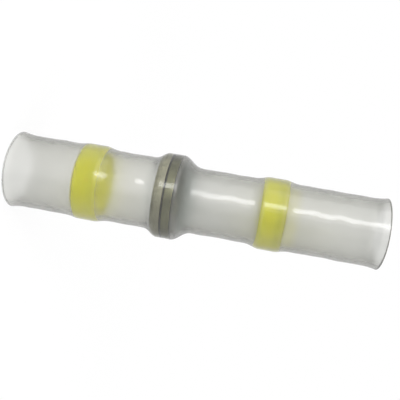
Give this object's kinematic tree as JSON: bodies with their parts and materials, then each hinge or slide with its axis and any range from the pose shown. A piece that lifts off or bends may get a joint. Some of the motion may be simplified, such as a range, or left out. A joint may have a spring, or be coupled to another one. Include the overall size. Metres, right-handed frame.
{
  "type": "butt splice connector",
  "caption": "Translucent heat-shrink butt splice sleeve with a wound solder ring in its middle and yellow hot-melt seal rings near its ends, joining wires end to end.",
  "frame": {"origin": "centre of the lower rim, on the surface that the splice stands on", "axes": "+Z along the wire passage, from the wider lower rim to the upper rim; the solder wire's crossover is 30 degrees from +X towards +Y"},
  "size_m": [0.0092, 0.0092, 0.04],
  "materials": {
    "sleeve": "milky translucent polyolefin with a soft gloss",
    "solder": "dull grey low-melt solder, flattened and wound",
    "seal": "waxy yellow hot-melt adhesive"
  },
  "bodies": {
    "root": {"heat_shrink_sleeve": "sleeve", "solder_ring": "solder", "lower_seal_ring": "seal", "upper_seal_ring": "seal"}
  },
  "joints": []
}
